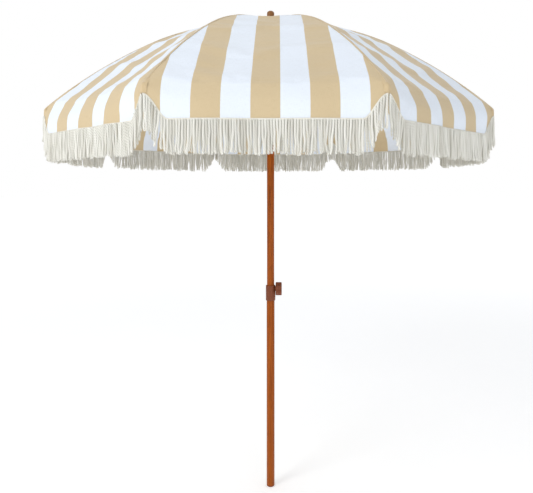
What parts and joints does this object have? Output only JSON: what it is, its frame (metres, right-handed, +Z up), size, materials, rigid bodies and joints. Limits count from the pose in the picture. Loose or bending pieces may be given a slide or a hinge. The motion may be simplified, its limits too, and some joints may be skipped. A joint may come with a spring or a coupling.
{
  "type": "garden umbrella",
  "caption": "Open garden or beach umbrella with a ribbed canopy, hanging valance with a rope fringe, and a two-part pole held by a clamp knob.",
  "frame": {"origin": "centre of the flat underside of the pole's foot, on the pole's axis", "axes": "+Z up along the pole; -Y towards the middle of the front gore; +X towards the clamp knob"},
  "size_m": [1.8068, 1.8068, 2.226],
  "materials": {
    "wood_tone_tube": "wood-grain wrap on steel tube",
    "brown_plastic": "moulded brown plastic",
    "finial_brown": "moulded light brown plastic",
    "steel": "zinc-plated steel",
    "white_plastic": "moulded off-white plastic",
    "coated_steel": "off-white powder coat",
    "striped_canvas": "plain-weave canvas, wide sand and white stripes",
    "cotton_fringe": "twisted ivory cotton cords"
  },
  "bodies": {
    "lower_section": {"foot_plug": "brown_plastic", "lower_pole": "wood_tone_tube", "clamp_collar": "brown_plastic", "clamp_nut": "steel"},
    "pad_body": {"pressure_pad": "white_plastic"},
    "knob_body": {"clamp_knob": "brown_plastic", "clamp_screw": "steel"},
    "carriage": {"guide_bush": "white_plastic"},
    "upper_section": {"upper_pole": "wood_tone_tube", "catch_pin": "steel", "top_hub": "white_plastic", "hub_wire": "steel", "finial": "finial_brown", "canopy_washer": "white_plastic"},
    "catch_body": {"runner_catch": "steel"},
    "runner_body": {"runner": "white_plastic", "runner_wire": "steel"},
    "rib_1_body": {"rib_1": "coated_steel"},
    "stretcher_1_body": {"stretcher_1": "coated_steel"},
    "gore_1_body": {"canopy_gore_1": "striped_canvas"},
    "valance_1_body": {"valance_1": "striped_canvas", "fringe_1": "cotton_fringe"},
    "rib_2_body": {"rib_2": "coated_steel"},
    "stretcher_2_body": {"stretcher_2": "coated_steel"},
    "gore_2_body": {"canopy_gore_2": "striped_canvas"},
    "valance_2_body": {"valance_2": "striped_canvas", "fringe_2": "cotton_fringe"},
    "rib_3_body": {"rib_3": "coated_steel"},
    "stretcher_3_body": {"stretcher_3": "coated_steel"},
    "gore_3_body": {"canopy_gore_3": "striped_canvas"},
    "valance_3_body": {"valance_3": "striped_canvas", "fringe_3": "cotton_fringe"},
    "rib_4_body": {"rib_4": "coated_steel"},
    "stretcher_4_body": {"stretcher_4": "coated_steel"},
    "gore_4_body": {"canopy_gore_4": "striped_canvas"},
    "valance_4_body": {"valance_4": "striped_canvas", "fringe_4": "cotton_fringe"},
    "rib_5_body": {"rib_5": "coated_steel"},
    "stretcher_5_body": {"stretcher_5": "coated_steel"},
    "gore_5_body": {"canopy_gore_5": "striped_canvas"},
    "valance_5_body": {"valance_5": "striped_canvas", "fringe_5": "cotton_fringe"},
    "rib_6_body": {"rib_6": "coated_steel"},
    "stretcher_6_body": {"stretcher_6": "coated_steel"},
    "gore_6_body": {"canopy_gore_6": "striped_canvas"},
    "valance_6_body": {"valance_6": "striped_canvas", "fringe_6": "cotton_fringe"},
    "rib_7_body": {"rib_7": "coated_steel"},
    "stretcher_7_body": {"stretcher_7": "coated_steel"},
    "gore_7_body": {"canopy_gore_7": "striped_canvas"},
    "valance_7_body": {"valance_7": "striped_canvas", "fringe_7": "cotton_fringe"},
    "rib_8_body": {"rib_8": "coated_steel"},
    "stretcher_8_body": {"stretcher_8": "coated_steel"},
    "gore_8_body": {"canopy_gore_8": "striped_canvas"},
    "valance_8_body": {"valance_8": "striped_canvas", "fringe_8": "cotton_fringe"}
  },
  "joints": [
    {"name": "pad_slide", "type": "slide", "parent": "lower_section", "child": "pad_body", "axis": [1, 0, 0], "range_m": [0, 0.0025]},
    {"name": "knob_turn", "type": "hinge", "parent": "pad_body", "child": "knob_body", "pos_m": [0.04, 0, 0.923], "axis": [1, 0, 0], "range_deg": [0, 720.2]},
    {"name": "pole_height", "type": "slide", "parent": "lower_section", "child": "carriage", "axis": [0, 0, 1], "range_m": [-0.16, 0.06], "stiffness_N_per_m": 1000, "springref_m": 0.06007},
    {"name": "pole_turn", "type": "hinge", "parent": "carriage", "child": "upper_section", "pos_m": [0, 0, 0.63], "axis": [0, 0, 1], "continuous": true},
    {"name": "catch_press", "type": "hinge", "parent": "upper_section", "child": "catch_body", "pos_m": [0.006, 0, 1.602], "axis": [0, -1, 0], "range_deg": [0, 6.5], "stiffness_Nm_per_rad": 1},
    {"name": "runner_slide", "type": "slide", "parent": "upper_section", "child": "runner_body", "axis": [0, 0, -1], "range_m": [0, 0.5547], "stiffness_N_per_m": 60, "springref_m": -0.81687, "deforming": ["runner_catch", "canopy_gore_1", "valance_1", "fringe_1", "canopy_gore_2", "valance_2", "fringe_2", "canopy_gore_3", "valance_3", "fringe_3", "canopy_gore_4", "valance_4", "fringe_4", "canopy_gore_5", "valance_5", "fringe_5", "canopy_gore_6", "valance_6", "fringe_6", "canopy_gore_7", "valance_7", "fringe_7", "canopy_gore_8", "valance_8", "fringe_8"]},
    {"name": "rib_1_fold", "type": "hinge", "parent": "upper_section", "child": "rib_1_body", "pos_m": [0.01072, -0.02587, 2.158], "axis": [0.9239, 0.3827, 0], "range_deg": [0, 62.13]},
    {"name": "stretcher_1_fold", "type": "hinge", "parent": "runner_body", "child": "stretcher_1_body", "pos_m": [0.01056, -0.0255, 1.746], "axis": [-0.9239, -0.3827, 0], "range_deg": [0, 44.5]},
    {"name": "gore_1_fold", "type": "hinge", "parent": "upper_section", "child": "gore_1_body", "pos_m": [0, -0.02587, 2.158], "axis": [1, 0, 0], "range_deg": [0, 59.85]},
    {"name": "valance_1_hang", "type": "hinge", "parent": "gore_1_body", "child": "valance_1_body", "pos_m": [0, -0.89524, 1.712], "axis": [-1, 0, 0], "range_deg": [0, 59.85]},
    {"name": "rib_2_fold", "type": "hinge", "parent": "upper_section", "child": "rib_2_body", "pos_m": [0.02587, -0.01072, 2.158], "axis": [0.3827, 0.9239, 0], "range_deg": [0, 62.13]},
    {"name": "stretcher_2_fold", "type": "hinge", "parent": "runner_body", "child": "stretcher_2_body", "pos_m": [0.0255, -0.01056, 1.746], "axis": [-0.3827, -0.9239, 0], "range_deg": [0, 44.5]},
    {"name": "gore_2_fold", "type": "hinge", "parent": "upper_section", "child": "gore_2_body", "pos_m": [0.01829, -0.01829, 2.158], "axis": [0.7071, 0.7071, 0], "range_deg": [0, 59.85]},
    {"name": "valance_2_hang", "type": "hinge", "parent": "gore_2_body", "child": "valance_2_body", "pos_m": [0.63303, -0.63303, 1.712], "axis": [-0.7071, -0.7071, 0], "range_deg": [0, 59.85]},
    {"name": "rib_3_fold", "type": "hinge", "parent": "upper_section", "child": "rib_3_body", "pos_m": [0.02587, 0.01072, 2.158], "axis": [-0.3827, 0.9239, 0], "range_deg": [0, 62.13]},
    {"name": "stretcher_3_fold", "type": "hinge", "parent": "runner_body", "child": "stretcher_3_body", "pos_m": [0.0255, 0.01056, 1.746], "axis": [0.3827, -0.9239, 0], "range_deg": [0, 44.5]},
    {"name": "gore_3_fold", "type": "hinge", "parent": "upper_section", "child": "gore_3_body", "pos_m": [0.02587, 0, 2.158], "axis": [0, 1, 0], "range_deg": [0, 59.85]},
    {"name": "valance_3_hang", "type": "hinge", "parent": "gore_3_body", "child": "valance_3_body", "pos_m": [0.89524, 0, 1.712], "axis": [0, -1, 0], "range_deg": [0, 59.85]},
    {"name": "rib_4_fold", "type": "hinge", "parent": "upper_section", "child": "rib_4_body", "pos_m": [0.01072, 0.02587, 2.158], "axis": [-0.9239, 0.3827, 0], "range_deg": [0, 62.13]},
    {"name": "stretcher_4_fold", "type": "hinge", "parent": "runner_body", "child": "stretcher_4_body", "pos_m": [0.01056, 0.0255, 1.746], "axis": [0.9239, -0.3827, 0], "range_deg": [0, 44.5]},
    {"name": "gore_4_fold", "type": "hinge", "parent": "upper_section", "child": "gore_4_body", "pos_m": [0.01829, 0.01829, 2.158], "axis": [-0.7071, 0.7071, 0], "range_deg": [0, 59.85]},
    {"name": "valance_4_hang", "type": "hinge", "parent": "gore_4_body", "child": "valance_4_body", "pos_m": [0.63303, 0.63303, 1.712], "axis": [0.7071, -0.7071, 0], "range_deg": [0, 59.85]},
    {"name": "rib_5_fold", "type": "hinge", "parent": "upper_section", "child": "rib_5_body", "pos_m": [-0.01072, 0.02587, 2.158], "axis": [-0.9239, -0.3827, 0], "range_deg": [0, 62.13]},
    {"name": "stretcher_5_fold", "type": "hinge", "parent": "runner_body", "child": "stretcher_5_body", "pos_m": [-0.01056, 0.0255, 1.746], "axis": [0.9239, 0.3827, 0], "range_deg": [0, 44.5]},
    {"name": "gore_5_fold", "type": "hinge", "parent": "upper_section", "child": "gore_5_body", "pos_m": [0, 0.02587, 2.158], "axis": [-1, 0, 0], "range_deg": [0, 59.85]},
    {"name": "valance_5_hang", "type": "hinge", "parent": "gore_5_body", "child": "valance_5_body", "pos_m": [0, 0.89524, 1.712], "axis": [1, 0, 0], "range_deg": [0, 59.85]},
    {"name": "rib_6_fold", "type": "hinge", "parent": "upper_section", "child": "rib_6_body", "pos_m": [-0.02587, 0.01072, 2.158], "axis": [-0.3827, -0.9239, 0], "range_deg": [0, 62.13]},
    {"name": "stretcher_6_fold", "type": "hinge", "parent": "runner_body", "child": "stretcher_6_body", "pos_m": [-0.0255, 0.01056, 1.746], "axis": [0.3827, 0.9239, 0], "range_deg": [0, 44.5]},
    {"name": "gore_6_fold", "type": "hinge", "parent": "upper_section", "child": "gore_6_body", "pos_m": [-0.01829, 0.01829, 2.158], "axis": [-0.7071, -0.7071, 0], "range_deg": [0, 59.85]},
    {"name": "valance_6_hang", "type": "hinge", "parent": "gore_6_body", "child": "valance_6_body", "pos_m": [-0.63303, 0.63303, 1.712], "axis": [0.7071, 0.7071, 0], "range_deg": [0, 59.85]},
    {"name": "rib_7_fold", "type": "hinge", "parent": "upper_section", "child": "rib_7_body", "pos_m": [-0.02587, -0.01072, 2.158], "axis": [0.3827, -0.9239, 0], "range_deg": [0, 62.13]},
    {"name": "stretcher_7_fold", "type": "hinge", "parent": "runner_body", "child": "stretcher_7_body", "pos_m": [-0.0255, -0.01056, 1.746], "axis": [-0.3827, 0.9239, 0], "range_deg": [0, 44.5]},
    {"name": "gore_7_fold", "type": "hinge", "parent": "upper_section", "child": "gore_7_body", "pos_m": [-0.02587, 0, 2.158], "axis": [0, -1, 0], "range_deg": [0, 59.85]},
    {"name": "valance_7_hang", "type": "hinge", "parent": "gore_7_body", "child": "valance_7_body", "pos_m": [-0.89524, 0, 1.712], "axis": [0, 1, 0], "range_deg": [0, 59.85]},
    {"name": "rib_8_fold", "type": "hinge", "parent": "upper_section", "child": "rib_8_body", "pos_m": [-0.01072, -0.02587, 2.158], "axis": [0.9239, -0.3827, 0], "range_deg": [0, 62.13]},
    {"name": "stretcher_8_fold", "type": "hinge", "parent": "runner_body", "child": "stretcher_8_body", "pos_m": [-0.01056, -0.0255, 1.746], "axis": [-0.9239, 0.3827, 0], "range_deg": [0, 44.5]},
    {"name": "gore_8_fold", "type": "hinge", "parent": "upper_section", "child": "gore_8_body", "pos_m": [-0.01829, -0.01829, 2.158], "axis": [0.7071, -0.7071, 0], "range_deg": [0, 59.85]},
    {"name": "valance_8_hang", "type": "hinge", "parent": "gore_8_body", "child": "valance_8_body", "pos_m": [-0.63303, -0.63303, 1.712], "axis": [-0.7071, 0.7071, 0], "range_deg": [0, 59.85]}
  ],
  "couplings": [
    {"joint": "knob_turn", "follows": "pad_slide", "rad_per_m": 5026.5},
    {"joint": "rib_1_fold", "follows": "runner_slide", "rad_per_m": 1.9546},
    {"joint": "stretcher_1_fold", "follows": "runner_slide", "rad_per_m": 1.3999},
    {"joint": "gore_1_fold", "follows": "runner_slide", "rad_per_m": 1.8829},
    {"joint": "valance_1_hang", "follows": "runner_slide", "rad_per_m": 1.8829},
    {"joint": "rib_2_fold", "follows": "runner_slide", "rad_per_m": 1.9546},
    {"joint": "stretcher_2_fold", "follows": "runner_slide", "rad_per_m": 1.3999},
    {"joint": "gore_2_fold", "follows": "runner_slide", "rad_per_m": 1.8829},
    {"joint": "valance_2_hang", "follows": "runner_slide", "rad_per_m": 1.8829},
    {"joint": "rib_3_fold", "follows": "runner_slide", "rad_per_m": 1.9546},
    {"joint": "stretcher_3_fold", "follows": "runner_slide", "rad_per_m": 1.3999},
    {"joint": "gore_3_fold", "follows": "runner_slide", "rad_per_m": 1.8829},
    {"joint": "valance_3_hang", "follows": "runner_slide", "rad_per_m": 1.8829},
    {"joint": "rib_4_fold", "follows": "runner_slide", "rad_per_m": 1.9546},
    {"joint": "stretcher_4_fold", "follows": "runner_slide", "rad_per_m": 1.3999},
    {"joint": "gore_4_fold", "follows": "runner_slide", "rad_per_m": 1.8829},
    {"joint": "valance_4_hang", "follows": "runner_slide", "rad_per_m": 1.8829},
    {"joint": "rib_5_fold", "follows": "runner_slide", "rad_per_m": 1.9546},
    {"joint": "stretcher_5_fold", "follows": "runner_slide", "rad_per_m": 1.3999},
    {"joint": "gore_5_fold", "follows": "runner_slide", "rad_per_m": 1.8829},
    {"joint": "valance_5_hang", "follows": "runner_slide", "rad_per_m": 1.8829},
    {"joint": "rib_6_fold", "follows": "runner_slide", "rad_per_m": 1.9546},
    {"joint": "stretcher_6_fold", "follows": "runner_slide", "rad_per_m": 1.3999},
    {"joint": "gore_6_fold", "follows": "runner_slide", "rad_per_m": 1.8829},
    {"joint": "valance_6_hang", "follows": "runner_slide", "rad_per_m": 1.8829},
    {"joint": "rib_7_fold", "follows": "runner_slide", "rad_per_m": 1.9546},
    {"joint": "stretcher_7_fold", "follows": "runner_slide", "rad_per_m": 1.3999},
    {"joint": "gore_7_fold", "follows": "runner_slide", "rad_per_m": 1.8829},
    {"joint": "valance_7_hang", "follows": "runner_slide", "rad_per_m": 1.8829},
    {"joint": "rib_8_fold", "follows": "runner_slide", "rad_per_m": 1.9546},
    {"joint": "stretcher_8_fold", "follows": "runner_slide", "rad_per_m": 1.3999},
    {"joint": "gore_8_fold", "follows": "runner_slide", "rad_per_m": 1.8829},
    {"joint": "valance_8_hang", "follows": "runner_slide", "rad_per_m": 1.8829}
  ]
}
